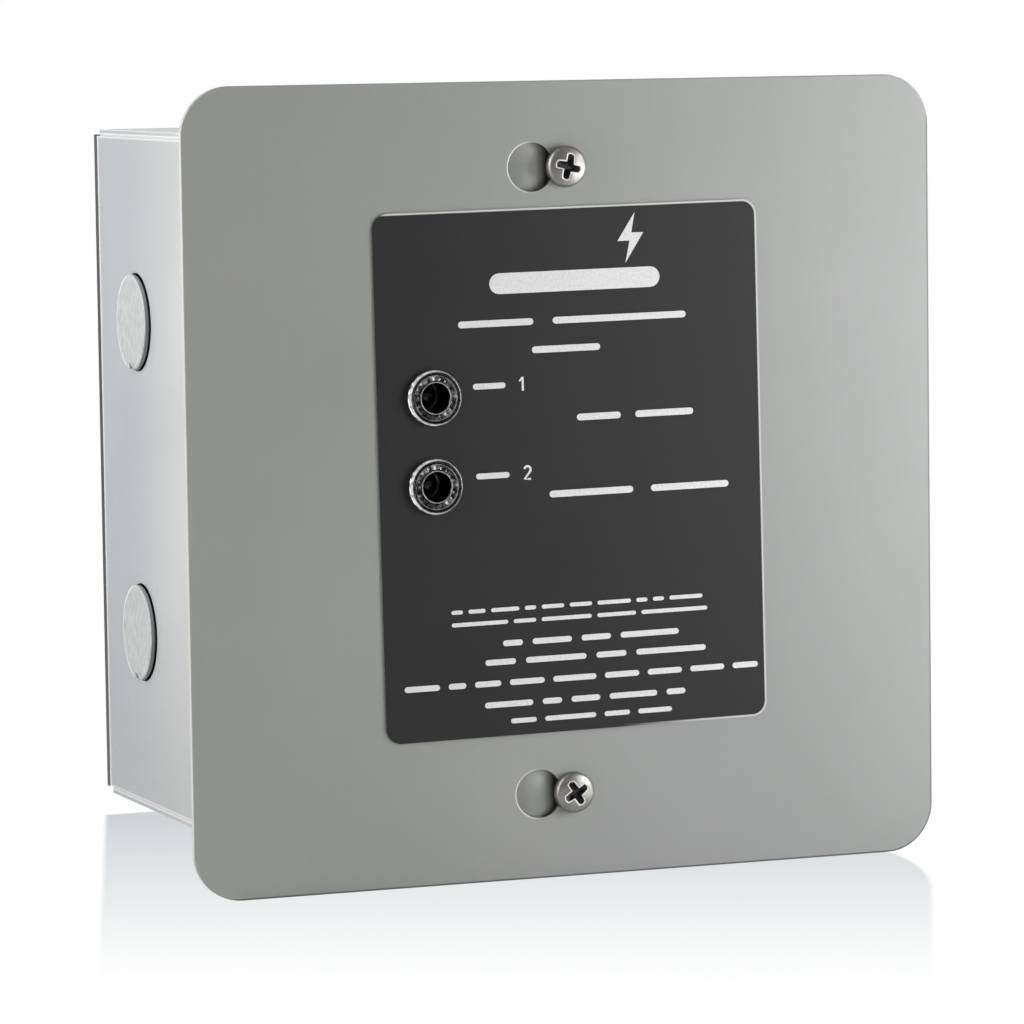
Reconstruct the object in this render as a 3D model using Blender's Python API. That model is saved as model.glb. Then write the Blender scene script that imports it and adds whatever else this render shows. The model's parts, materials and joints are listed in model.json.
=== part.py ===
"""Whole house surge protector: a folded steel box for a wall, and a keyhole cover with the surge module.

The origin is the centre of the box's back face. The cover faces -Y, +X is to the right and +Z is up.
Pieces on the cover are placed from the cover's rear face, so their Y is a depth behind it.
"""

import math

import bmesh
import bpy
from mathutils import Euler, Matrix, Vector

# Box, in metres
BOX_WIDTH = 0.1542
BOX_HEIGHT = 0.1564
BOX_DEPTH = 0.1034
BOX_SHEET = 0.0012
BEND_RADIUS = 0.0015
BEND_STEPS = 4
COVER_LIP = 0.0190
FLANGE = 0.0127
CORNER_RELIEF = 0.0020
SHEET_EDGE = 0.0003
WRAP_RELIEF = 0.0046
WRAP_INSET = 0.0002
GAP = 0.0003

# Knockouts: a disc punched outwards and left hanging on one tab
KNOCKOUT_HOLE = 0.0113
KNOCKOUT_DISC = 0.0110
KNOCKOUT_PROUD = 0.0014
KNOCKOUT_Y = -0.0315
KNOCKOUT_SIDE_Z = {"upper": 0.0344, "lower": -0.0373}
KNOCKOUT_END_X = {"left": -0.0360, "right": 0.0360}
TAB_WIDTH = 0.0026
TAB_LENGTH = 0.0016
TAB_SLIT = 0.0007

# Back panel
MOUNTING_PITCH = 0.1016
MOUNTING_HOLE = 0.0032
GROUND_SCREW_AT = (-0.0450, -0.0250)
GROUND_WASHER = 0.0050
GROUND_WASHER_HEIGHT = 0.0007
GROUND_HEX = 0.0042
GROUND_HEAD_HEIGHT = 0.0034

# Cover
COVER_SIDE = 0.1778
COVER_SHEET = 0.0015
COVER_CORNER = 0.0111
COVER_EDGE = 0.0003
KEYHOLE_TRAVEL = 0.0080
KEYHOLE_ROUND = 0.00535
KEYHOLE_SLOT = 0.0029
COVER_SCREW_Z = 0.06985
SCREW_LEVELS = (-COVER_SCREW_Z, COVER_SCREW_Z)

# Nameplate
NAMEPLATE_WIDTH = 0.0914
NAMEPLATE_HEIGHT = 0.1170
NAMEPLATE_CORNER = 0.0035
NAMEPLATE_AT = (0.0010, 0.0025)
NAMEPLATE_TILT = math.radians(-0.78)
NAMEPLATE_SHEET = 0.0003
NAMEPLATE_GLUE = 0.0001

# Cover screws, 10-32
SCREW_HEAD = 0.0046
SCREW_HEAD_HEIGHT = 0.0027
SCREW_CROWN = 0.0016
SCREW_CROWN_STEPS = 6
SCREW_SHANK = 0.00235
SCREW_LENGTH = 0.0127
SCREW_TIP = 0.0008
SCREW_TIP_RADIUS = 0.0016
RECESS_REACH = 0.0029
RECESS_WIDTH = 0.0014
RECESS_DEPTH = 0.0019
RECESS_TAPER = 0.5
RECESS_TURN = {"top": math.radians(15), "bottom": math.radians(-30)}
TAPPED_HOLE = SCREW_SHANK + GAP
COLLAR_RADIUS = 0.0040
COLLAR_HEIGHT = 0.0025

# Indicator lenses and lamps
LENS_X = -0.03175
LENS_Z = {"line_1": 0.0197, "line_2": 0.0001}
LENS_FLANGE = 0.00615
LENS_FLANGE_HEIGHT = 0.0014
LENS_STEP = 0.0005
LENS_BARREL = 0.0043
LENS_BORE = 0.0029
LENS_TAIL = 0.0060
LENS_HOLE = LENS_BARREL + GAP
LENS_RING = 0.0068
LENS_RING_AT = (0.0010, 0.0026)
LED_RADIUS = 0.0025
LED_RIM = 0.0029
LED_RIM_HEIGHT = 0.0010
LED_TIP = 0.0020

# Surge module, as depths behind the cover's rear face
INSULATOR = (0.0003, 0.0007)
INSULATOR_SIZE = (0.0960, 0.1040)
STANDOFF_AT = (0.0380, 0.0420)
STANDOFF = (0.0003, 0.0103)
STANDOFF_HEX = 0.0036
STUD_RADIUS = 0.0015
STUD_END = 0.0170
STUD_HOLE = STUD_RADIUS + GAP
BOARD = (0.0106, 0.0122)
BOARD_SIZE = (0.0880, 0.0960)
SHEET_CORNER = 0.0020
BRIM = (0.0125, 0.0137)
BRIM_HALF = (0.0420, 0.0460)
BRIM_NOTCH = (0.0220, -0.0270)
HOOD_X = 0.0330
HOOD_Z = (-0.0220, 0.0380)
HOOD_TOP = 0.0400
HOOD_WALL = 0.0012
NUT = (0.0140, 0.0164)
NUT_HEX = 0.0032

# Components on the board
VARISTOR_COUNT = 6
VARISTOR_PITCH = 0.0096
VARISTOR_RADIUS = 0.0105
VARISTOR_THICKNESS = 0.0050
VARISTOR_RIM = 0.0012
VARISTOR_Z = 0.0230
VARISTOR_DEPTH = 0.0265
LEAD_RADIUS = 0.0004
LEAD_SPREAD = 0.0050
LEAD_OFFSET = 0.0006
LEAD_STUB = 0.0016
LEAD_STUB_RADIUS = 0.0006
CUTOFF_X = 0.0110
CUTOFF_Z = -0.0010
CUTOFF_RADIUS = 0.0030
CUTOFF_DEPTH = 0.0164
CUTOFF_LENGTH = 0.0110
FUSE_X = 0.0155
FUSE_Z = -0.0130
FUSE_RADIUS = 0.0031
FUSE_LENGTH = 0.0240
FUSE_DEPTH = 0.0169
RESISTOR_X = -0.0220
RESISTOR_RADIUS = 0.0012
RESISTOR_DEPTH = 0.0086
RESISTOR_LENGTH = 0.0065

# Terminal block
TERMINAL_COUNT = 4
TERMINAL_PITCH = 0.0095
TERMINAL_BLOCK_X = 0.0400
TERMINAL_BLOCK_Z = (-0.0450, -0.0290)
TERMINAL_BLOCK_DEPTH = (0.0125, 0.0295)
WIRE_ENTRY = 0.0060
WIRE_ENTRY_DEPTH = 0.0190
WIRE_ENTRY_LENGTH = 0.0120
CLAMP_WELL = 0.0029
CLAMP_SCREW = 0.0024
CLAMP_SCREW_DEPTH = (0.0228, 0.0288)
CLAMP_SCREW_Z = -0.0375
CLAMP_SLOT = (0.0006, 0.0012)

# Edges that turn by more than this stay sharp
SHARP_ANGLE = math.radians(35)

# How finely round shapes are divided
FINE = 40
MEDIUM = 24
COARSE = 12

# Places worked out from the dimensions above
COVER_REAR_Y = -(BOX_DEPTH + GAP)
COVER_FRONT = -COVER_SHEET
SCREW_SEAT_Y = COVER_REAR_Y - COVER_SHEET - GAP
PANEL_REAR_Y = -(BOX_SHEET + GAP)
PANEL_LENGTH = BOX_DEPTH + PANEL_REAR_Y
PANEL_HEIGHT = BOX_HEIGHT - 2 * (BOX_SHEET + GAP)
TAB_ROOT = KNOCKOUT_HOLE - KNOCKOUT_DISC + TAB_LENGTH
LENS_SEAT = COVER_FRONT - NAMEPLATE_SHEET - 2 * NAMEPLATE_GLUE
OUT_LEFT = (0, 0, math.radians(-90))
OUT_RIGHT = (0, 0, math.radians(90))
OUT_TOP = (math.radians(-90), 0, math.radians(180))
OUT_BOTTOM = (math.radians(90), 0, 0)
ACROSS = (0, 0, math.radians(90))

# Finishes: colour, roughness, metallic
BOX_PAINT = ((0.60, 0.61, 0.61), 0.45, 0.0)
COVER_PAINT = ((0.31, 0.32, 0.31), 0.40, 0.1)
DARK_FILM = ((0.028, 0.028, 0.032), 0.60, 0.0)
CLEAR_PLASTIC = ((0.80, 0.82, 0.82), 0.08, 0.0)
BLACK_PLASTIC = ((0.020, 0.020, 0.020), 0.45, 0.0)
LAMP_PLASTIC = ((0.10, 0.22, 0.12), 0.15, 0.0)
BRIGHT_STEEL = ((0.62, 0.61, 0.58), 0.25, 1.0)
ZINC = ((0.55, 0.56, 0.58), 0.35, 1.0)
GREEN_ZINC = ((0.05, 0.28, 0.10), 0.35, 0.6)
FIBRE_SHEET = ((0.04, 0.04, 0.045), 0.80, 0.0)
BOARD_LACQUER = ((0.02, 0.16, 0.06), 0.35, 0.0)
BLUE_EPOXY = ((0.03, 0.10, 0.35), 0.40, 0.0)
CERAMIC = ((0.75, 0.72, 0.66), 0.50, 0.0)
TAN_EPOXY = ((0.55, 0.38, 0.20), 0.45, 0.0)


def clear_scene():
    for old in list(bpy.data.objects):
        bpy.data.objects.remove(old, do_unlink=True)


def principled(name, finish):
    colour, roughness, metallic = finish
    material = bpy.data.materials.new(name)
    material.use_nodes = True
    shader = material.node_tree.nodes["Principled BSDF"]
    shader.inputs["Base Color"].default_value = (*colour, 1.0)
    shader.inputs["Roughness"].default_value = roughness
    shader.inputs["Metallic"].default_value = metallic
    return material


def add_object(name, shape, location=(0, 0, 0), turn=(0, 0, 0), parent=None):
    """Makes an object of the shape and frees the shape."""
    mesh = bpy.data.meshes.new(name)
    bmesh.ops.recalc_face_normals(shape, faces=shape.faces)
    shape.to_mesh(mesh)
    shape.free()
    mesh.shade_smooth()
    mesh.set_sharp_from_angle(angle=SHARP_ANGLE)
    made = bpy.data.objects.new(name, mesh)
    bpy.context.scene.collection.objects.link(made)
    made.location = location
    made.rotation_euler = turn
    made.parent = parent
    return made


def add_piece(name, shape, finish, **place):
    made = add_object(name, shape, **place)
    made.data.materials.append(principled(name + "_finish", finish))
    return made


def add_frame(name, location):
    frame = bpy.data.objects.new(name, None)
    bpy.context.scene.collection.objects.link(frame)
    frame.location = location
    return frame


def combine(target, shapes, operation, parent=None):
    """Cuts the shapes from the target, or joins them on, as one exact boolean.

    The shapes stay clear of each other.
    """
    gathered = bmesh.new()
    for shape in shapes:
        copies = {vertex: gathered.verts.new(vertex.co) for vertex in shape.verts}
        for face in shape.faces:
            gathered.faces.new([copies[vertex] for vertex in face.verts])
        shape.free()
    helper = add_object(f"{target.name}_{operation.lower()}", gathered, parent=parent)
    helper.hide_render = True
    helper.display_type = "WIRE"
    modifier = target.modifiers.new(helper.name, "BOOLEAN")
    modifier.operation = operation
    modifier.solver = "EXACT"
    modifier.object = helper


def cut(target, shapes, parent=None):
    combine(target, shapes, "DIFFERENCE", parent)


def join(target, shapes, parent=None):
    combine(target, shapes, "UNION", parent)


def round_edges(piece, width):
    edge = piece.modifiers.new("rounded_edge", "BEVEL")
    edge.width = width
    edge.segments = 2
    edge.limit_method = "ANGLE"
    edge.angle_limit = math.radians(60)


# Outlines, as (x, z) points


def arc(centre, radius, start, end, steps):
    """Points on an arc, both ends included, with the angles in degrees."""
    angles = [math.radians(start + (end - start) * step / steps) for step in range(steps + 1)]
    return [(centre[0] + radius * math.cos(a), centre[1] + radius * math.sin(a)) for a in angles]


def circle(radius, segments, centre=(0, 0)):
    return arc(centre, radius, 0, 360, segments)[:-1]


def hexagon(radius):
    return circle(radius, 6)


def rectangle(low_x, high_x, low_z, high_z):
    return [(low_x, low_z), (high_x, low_z), (high_x, high_z), (low_x, high_z)]


def rounded_rectangle(width, height, radius, steps):
    x = width / 2 - radius
    z = height / 2 - radius
    points = arc((x, z), radius, 0, 90, steps)
    points += arc((-x, z), radius, 90, 180, steps)
    points += arc((-x, -z), radius, 180, 270, steps)
    points += arc((x, -z), radius, 270, 360, steps)
    return points


def keyhole():
    """A round hole at the left, with a slot that ends round at the outline's own centre."""
    meet = math.degrees(math.asin(KEYHOLE_SLOT / KEYHOLE_ROUND))
    points = arc((-KEYHOLE_TRAVEL, 0), KEYHOLE_ROUND, meet, 360 - meet, FINE)
    points += arc((0, 0), KEYHOLE_SLOT, -90, 90, COARSE)
    return points


def knockout_outline():
    """A disc that stands on its tab's root, between two slits. The hole's lowest point is at (0, 0)."""
    centre = (0, KNOCKOUT_HOLE)
    side = TAB_WIDTH / 2 + TAB_SLIT
    half_angle = math.degrees(math.asin(side / KNOCKOUT_DISC))
    points = arc(centre, KNOCKOUT_DISC, half_angle - 90, 270 - half_angle, FINE)
    points += [(x, TAB_ROOT) for x in (-side, -TAB_WIDTH / 2, TAB_WIDTH / 2, side)]
    return points


# Shapes


def prism(outline, start, end):
    """The outline, extruded along Y."""
    shape = bmesh.new()
    face = shape.faces.new([shape.verts.new((x, start, z)) for x, z in outline])
    extruded = bmesh.ops.extrude_face_region(shape, geom=[face])
    moved = [item for item in extruded["geom"] if isinstance(item, bmesh.types.BMVert)]
    bmesh.ops.translate(shape, verts=moved, vec=(0, end - start, 0))
    return shape


def put(shape, location, turn=(0, 0, 0)):
    """The shape, turned and moved."""
    matrix = Matrix.Translation(location) @ Euler(turn).to_matrix().to_4x4()
    bmesh.ops.transform(shape, matrix=matrix, verts=shape.verts)
    return shape


def turned(profile, segments, ring=False):
    """A round body about Y. The profile is (radius, y) points, and a ring's profile closes on itself."""
    shape = bmesh.new()
    points = [shape.verts.new((radius, y, 0)) for radius, y in profile]
    edges = [shape.edges.new(pair) for pair in zip(points, points[1:])]
    if ring:
        edges.append(shape.edges.new((points[-1], points[0])))
    bmesh.ops.spin(
        shape,
        geom=points + edges,
        cent=(0, 0, 0),
        axis=(0, 1, 0),
        angle=math.tau,
        steps=segments,
        use_merge=True,
    )
    bmesh.ops.remove_doubles(shape, verts=shape.verts, dist=1e-6)
    return shape


def tube(outer, inner, start, end, segments):
    return turned([(inner, start), (outer, start), (outer, end), (inner, end)], segments, ring=True)


def rod(radius, start, end, segments):
    return turned([(0, start), (radius, start), (radius, end), (0, end)], segments)


def bent_path(turns, radius, steps):
    """A path of (y, z) points through the turns, each of them rounded."""
    path = [turns[0]]
    for before, corner, after in zip(turns, turns[1:], turns[2:]):
        into = (before[0] - corner[0], before[1] - corner[1])
        away = (after[0] - corner[0], after[1] - corner[1])
        into = tuple(value / math.hypot(*into) for value in into)
        away = tuple(value / math.hypot(*away) for value in away)
        middle = tuple(c + radius * (i + a) for c, i, a in zip(corner, into, away))
        for step in range(steps + 1):
            angle = math.radians(90 * step / steps)
            offset = [-radius * (a * math.cos(angle) + i * math.sin(angle)) for i, a in zip(into, away)]
            path.append((middle[0] + offset[0], middle[1] + offset[1]))
    path.append(turns[-1])
    return path


def wrap_outline():
    """The box wrap's section: its outer skin from lip to lip, and its inner skin back again."""
    lip = BOX_HEIGHT / 2 - COVER_LIP
    skins = []
    for inset in (0, BOX_SHEET):
        front = inset - BOX_DEPTH
        top = BOX_HEIGHT / 2 - inset
        turns = [(front, lip), (front, top), (-inset, top), (-inset, -top), (front, -top), (front, -lip)]
        skins.append(bent_path(turns, BEND_RADIUS - inset, BEND_STEPS))
    return skins[0] + skins[1][::-1]


# Box


def knockout_cutter(at, turn):
    return put(rod(KNOCKOUT_HOLE, -BOX_SHEET, 2 * BOX_SHEET, FINE), at, turn)


def build_box_wrap():
    """Top, back and bottom in one folded sheet, with a lip above and below the front opening."""
    half = BOX_WIDTH / 2 - WRAP_INSET
    section = put(prism(wrap_outline(), -half, half), (0, 0, 0), OUT_RIGHT)
    wrap = add_piece("box_wrap", section, BOX_PAINT)
    ground = (GROUND_SCREW_AT[0], 0, GROUND_SCREW_AT[1])
    start = BOX_SHEET / 2
    end = BOX_SHEET + COLLAR_HEIGHT
    collars = [put(rod(COLLAR_RADIUS, start, end, MEDIUM), (0, -BOX_DEPTH, z)) for z in SCREW_LEVELS]
    collars.append(put(rod(COLLAR_RADIUS, -end, -start, MEDIUM), ground))
    join(wrap, collars)

    end += GAP
    holes = [put(rod(TAPPED_HOLE, -GAP, end, MEDIUM), (0, -BOX_DEPTH, z)) for z in SCREW_LEVELS]
    holes.append(put(rod(TAPPED_HOLE, -end, GAP, MEDIUM), ground))
    half_pitch = MOUNTING_PITCH / 2
    mountings = [(x, 0, z) for x in (-half_pitch, half_pitch) for z in (-half_pitch, half_pitch)]
    holes += [put(rod(MOUNTING_HOLE, -2 * BOX_SHEET, BOX_SHEET, MEDIUM), at) for at in mountings]
    for turn, z in ((OUT_TOP, BOX_HEIGHT / 2), (OUT_BOTTOM, -BOX_HEIGHT / 2)):
        holes += [knockout_cutter((x, KNOCKOUT_Y, z), turn) for x in KNOCKOUT_END_X.values()]
        relief = (WRAP_RELIEF, -2 * BOX_SHEET, BOX_SHEET, FINE)
        holes += [put(rod(*relief), (x, 0, z), turn) for x in (-BOX_WIDTH / 2, BOX_WIDTH / 2)]
    cut(wrap, holes)


def mirrored(outline, front):
    """The outline, with its X turned round when the front is -1."""
    return [(front * x, z) for x, z in outline][::front]


def build_side_panel(name, side, turn):
    """A pan whose flanges lie under the wrap. The side is -1 for the left panel and 1 for the right.

    The outlines have the cover's end at +X. Above and below the flange there, the face stops short
    and the wrap's lips go in front of it.
    """
    front = PANEL_LENGTH / 2
    step = front - BEND_RADIUS
    top = PANEL_HEIGHT / 2
    lip = BOX_HEIGHT / 2 - COVER_LIP - BOX_SHEET
    face = [(-front, -top), (step, -top), (step, -lip), (front, -lip)]
    face += [(x, -z) for x, z in face[::-1]]

    clear = front + GAP
    over = top + GAP
    lip -= GAP
    half = [(-clear, CORNER_RELIEF - top), (-clear, -over), (CORNER_RELIEF - front, -over)]
    half += [(CORNER_RELIEF - front, BOX_SHEET - top), (step - CORNER_RELIEF, BOX_SHEET - top)]
    half += [(step - CORNER_RELIEF, -over), (clear, -over), (clear, -lip), (front - BOX_SHEET, -lip)]
    hollow = [(BOX_SHEET - front, top - CORNER_RELIEF), (BOX_SHEET - front, CORNER_RELIEF - top)] + half
    hollow += [(x, -z) for x, z in half[::-1]]

    x = side * BOX_WIDTH / 2
    at = (x, (PANEL_REAR_Y - BOX_DEPTH) / 2, 0)
    block = prism(mirrored(face, -side), 0, FLANGE)
    panel = add_piece(name, block, BOX_PAINT, location=at, turn=turn)
    cut(panel, [put(prism(mirrored(hollow, -side), BOX_SHEET, FLANGE + GAP), at, turn)])
    cut(panel, [knockout_cutter((x, KNOCKOUT_Y, z), turn) for z in KNOCKOUT_SIDE_Z.values()])
    round_edges(panel, SHEET_EDGE)


def knockout_disc():
    """The punched disc. Its tab runs back from the disc to the hole's edge, where it bends."""
    outer = -(BOX_SHEET / 2 + KNOCKOUT_PROUD)
    shape = prism(knockout_outline(), outer, outer + BOX_SHEET)
    root = Vector((0, outer + BOX_SHEET / 2, TAB_ROOT))
    tab = min(shape.faces, key=lambda face: (face.calc_center_median() - root).length)
    extruded = bmesh.ops.extrude_face_region(shape, geom=[tab])
    moved = [item for item in extruded["geom"] if isinstance(item, bmesh.types.BMVert)]
    bmesh.ops.translate(shape, verts=moved, vec=(0, KNOCKOUT_PROUD - BOX_SHEET / 2, -TAB_LENGTH))
    bmesh.ops.delete(shape, geom=[tab], context="FACES_ONLY")
    return shape


def build_knockouts():
    """Each disc has its origin on its tab's bend, at the middle of the sheet."""
    middle_x = (BOX_WIDTH - BOX_SHEET) / 2
    for level, z in KNOCKOUT_SIDE_Z.items():
        hinge_z = z - KNOCKOUT_HOLE
        for name, x, turn in (("left", -middle_x, OUT_LEFT), ("right", middle_x, OUT_RIGHT)):
            at = (x, KNOCKOUT_Y, hinge_z)
            add_piece(f"knockout_{name}_{level}", knockout_disc(), BOX_PAINT, location=at, turn=turn)
    middle_z = (BOX_HEIGHT - BOX_SHEET) / 2
    hinge_y = KNOCKOUT_Y + KNOCKOUT_HOLE
    for level, x in KNOCKOUT_END_X.items():
        for name, z, turn in (("top", middle_z, OUT_TOP), ("bottom", -middle_z, OUT_BOTTOM)):
            at = (x, hinge_y, z)
            add_piece(f"knockout_{name}_{level}", knockout_disc(), BOX_PAINT, location=at, turn=turn)


def build_ground_screw():
    """A green hexagon screw in the back panel's collar, with its origin under its washer."""
    seat = -BOX_SHEET - COLLAR_HEIGHT - GAP
    top = -GROUND_WASHER_HEIGHT
    end = -seat - GAP
    washer = [(0, top), (GROUND_WASHER, top), (GROUND_WASHER, 0)]
    profile = washer + [(SCREW_SHANK, 0), (SCREW_SHANK, end), (0, end)]
    at = (GROUND_SCREW_AT[0], seat, GROUND_SCREW_AT[1])
    screw = add_piece("ground_screw", turned(profile, MEDIUM), GREEN_ZINC, location=at)
    join(screw, [put(prism(hexagon(GROUND_HEX), -GROUND_HEAD_HEIGHT, top / 2), at)])
    slot = rectangle(-GROUND_WASHER, GROUND_WASHER, -RECESS_WIDTH / 2, RECESS_WIDTH / 2)
    cut(screw, [put(prism(slot, -GROUND_HEAD_HEIGHT - GAP, -GROUND_HEAD_HEIGHT / 2), at)])


# Cover


def lens_holes(radius):
    """Cutters for the two lenses, long enough for each sheet that they go through."""
    return [put(rod(radius, -2 * COVER_SHEET, COVER_SHEET, MEDIUM), (LENS_X, 0, z)) for z in LENS_Z.values()]


def build_cover_plate(cover):
    """A flat plate. Its outer edge and the edges of its holes are all rounded."""
    outline = rounded_rectangle(COVER_SIDE, COVER_SIDE, COVER_CORNER, COARSE)
    plate = add_piece("cover_plate", prism(outline, -COVER_SHEET, 0), COVER_PAINT, parent=cover)
    holes = [put(prism(keyhole(), -2 * COVER_SHEET, COVER_SHEET), (0, 0, z)) for z in SCREW_LEVELS]
    cut(plate, holes + lens_holes(LENS_HOLE), parent=cover)
    round_edges(plate, COVER_EDGE)


def build_nameplate(cover):
    rear = COVER_FRONT - NAMEPLATE_GLUE
    outline = rounded_rectangle(NAMEPLATE_WIDTH, NAMEPLATE_HEIGHT, NAMEPLATE_CORNER, COARSE)
    plate = add_piece(
        "nameplate",
        prism(outline, -NAMEPLATE_SHEET, 0),
        DARK_FILM,
        location=(NAMEPLATE_AT[0], rear, NAMEPLATE_AT[1]),
        turn=(0, NAMEPLATE_TILT, 0),
        parent=cover,
    )
    cut(plate, lens_holes(LENS_HOLE), parent=cover)


def lens_profile():
    """A flange with a raised rim, and a hollow barrel behind it."""
    face = LENS_SEAT - LENS_FLANGE_HEIGHT
    dish = face + 2 * LENS_STEP
    return [
        (LENS_BORE, LENS_TAIL),
        (LENS_BARREL, LENS_TAIL),
        (LENS_BARREL, LENS_SEAT),
        (LENS_FLANGE, LENS_SEAT),
        (LENS_FLANGE, face + LENS_STEP),
        (LENS_FLANGE - LENS_STEP, face),
        (LENS_FLANGE - 2 * LENS_STEP, face),
        (LENS_BARREL, dish),
        (LENS_BORE + 2 * LENS_STEP, dish),
        (LENS_BORE + LENS_STEP, face),
        (LENS_BORE, face),
    ]


def lamp_profile():
    """A domed lamp that stands on the board, with a rim round its foot."""
    foot = BOARD[0] - GAP
    dome = arc((0, LED_TIP + LED_RADIUS), LED_RADIUS, -90, 0, 4)
    dome[0] = (0, LED_TIP)
    rim = foot - LED_RIM_HEIGHT
    return dome + [(LED_RADIUS, rim), (LED_RIM, rim), (LED_RIM, foot), (0, foot)]


def build_indicator(cover, line, z):
    """A clear lens through the cover, the ring that holds it from behind, and the lamp in its bore."""
    place = {"location": (LENS_X, 0, z), "parent": cover}
    add_piece(f"lens_{line}", turned(lens_profile(), MEDIUM, ring=True), CLEAR_PLASTIC, **place)
    add_piece(f"lens_ring_{line}", tube(LENS_RING, LENS_HOLE, *LENS_RING_AT, COARSE), BLACK_PLASTIC, **place)
    add_piece(f"lamp_{line}", turned(lamp_profile(), COARSE), LAMP_PLASTIC, **place)


def cross_recess():
    """A cutter with four arms that narrow towards its floor."""
    half = RECESS_WIDTH / 2
    arm = ((RECESS_REACH, -half), (RECESS_REACH, half), (half, half))
    outline = []
    for cosine, sine in ((1, 0), (0, 1), (-1, 0), (0, -1)):
        outline += [(x * cosine - z * sine, x * sine + z * cosine) for x, z in arm]
    shape = prism(outline, -2 * SCREW_HEAD_HEIGHT, RECESS_DEPTH - SCREW_HEAD_HEIGHT)
    floor = [vertex for vertex in shape.verts if vertex.co.y > -SCREW_HEAD_HEIGHT]
    bmesh.ops.scale(shape, verts=floor, vec=(RECESS_TAPER, 1, RECESS_TAPER))
    return shape


def build_cover_screw(name, side):
    """A pan head with a cross recess. The origin is on the screw's axis, under its head."""
    at = (0, SCREW_SEAT_Y, side * COVER_SCREW_Z)
    crown_centre = (SCREW_HEAD - SCREW_CROWN, SCREW_CROWN - SCREW_HEAD_HEIGHT)
    crown = arc(crown_centre, SCREW_CROWN, 15 - 90, 0, SCREW_CROWN_STEPS)
    tip = SCREW_LENGTH - SCREW_TIP
    profile = [(0, -SCREW_HEAD_HEIGHT), *crown, (SCREW_HEAD, 0), (SCREW_SHANK, 0)]
    profile += [(SCREW_SHANK, tip), (SCREW_TIP_RADIUS, SCREW_LENGTH), (0, SCREW_LENGTH)]
    screw = add_piece(f"cover_screw_{name}", turned(profile, FINE), BRIGHT_STEEL, location=at)
    cut(screw, [put(cross_recess(), at, (0, RECESS_TURN[name], 0))])


# Surge module on the cover


def corners():
    """The four standoff places, from the upper left."""
    x, z = STANDOFF_AT
    return [(-x, 0, z), (x, 0, z), (-x, 0, -z), (x, 0, -z)]


def corner_holes(radius, end):
    return [put(rod(radius, 0, end, COARSE), at) for at in corners()]


def build_insulator(cover):
    outline = rounded_rectangle(*INSULATOR_SIZE, SHEET_CORNER, 4)
    sheet = add_piece("insulator_sheet", prism(outline, *INSULATOR), FIBRE_SHEET, parent=cover)
    holes = corner_holes(STANDOFF_HEX + GAP, 2 * INSULATOR[1]) + lens_holes(LENS_RING + GAP)
    cut(sheet, holes, parent=cover)


def build_board_and_fixings(cover):
    outline = rounded_rectangle(*BOARD_SIZE, SHEET_CORNER, 4)
    board = add_piece("circuit_board", prism(outline, *BOARD), BOARD_LACQUER, parent=cover)
    cut(board, corner_holes(STUD_HOLE, 2 * BOARD[1]), parent=cover)
    for number, at in enumerate(corners(), start=1):
        place = {"location": at, "parent": cover}
        standoff = add_piece(f"standoff_{number}", prism(hexagon(STANDOFF_HEX), *STANDOFF), ZINC, **place)
        stud = rod(STUD_RADIUS, (STANDOFF[0] + STANDOFF[1]) / 2, STUD_END, COARSE)
        join(standoff, [put(stud, at)], parent=cover)
        nut = add_piece(f"nut_{number}", prism(hexagon(NUT_HEX), *NUT), ZINC, **place)
        cut(nut, [put(rod(STUD_HOLE, 0, 2 * NUT[1], COARSE), at)], parent=cover)


def build_hood(cover):
    """A plastic hood over the varistors. Its brim is clamped on the four studs."""
    x, z = BRIM_HALF
    notch_x, notch_z = BRIM_NOTCH
    half = [(notch_x, notch_z), (notch_x, -z), (x, -z), (x, z)]
    brim = half + [(-across, up) for across, up in half[::-1]]
    hood = add_piece("module_hood", prism(brim, *BRIM), BLACK_PLASTIC, parent=cover)
    low, high = HOOD_Z
    wall = HOOD_WALL
    root = (BRIM[0] + BRIM[1]) / 2
    join(hood, [prism(rectangle(-HOOD_X, HOOD_X, low, high), root, HOOD_TOP)], parent=cover)
    hollow = prism(rectangle(wall - HOOD_X, HOOD_X - wall, low + wall, high - wall), 0, HOOD_TOP - wall)
    cut(hood, [hollow] + corner_holes(STUD_HOLE, 2 * BRIM[1]), parent=cover)


def build_varistors(cover):
    """A row of coated discs, each standing on two leads."""
    half = VARISTOR_THICKNESS / 2
    face = [(0, -half), (VARISTOR_RADIUS - VARISTOR_RIM, -half), (VARISTOR_RADIUS, VARISTOR_RIM - half)]
    profile = face + [(reach, -y) for reach, y in face[::-1]]
    for number in range(VARISTOR_COUNT):
        x = (number - (VARISTOR_COUNT - 1) / 2) * VARISTOR_PITCH
        place = {"location": (x, VARISTOR_DEPTH, VARISTOR_Z), "turn": ACROSS, "parent": cover}
        disc = add_piece(f"varistor_{number + 1}", turned(profile, MEDIUM), BLUE_EPOXY, **place)
        leads = []
        for side in (-1, 1):
            lead = rod(LEAD_RADIUS, BOARD[1] + GAP, VARISTOR_DEPTH - VARISTOR_RADIUS / 2, COARSE // 2)
            leads.append(put(lead, (x + side * LEAD_OFFSET, 0, VARISTOR_Z + side * LEAD_SPREAD)))
        join(disc, leads, parent=cover)


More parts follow.
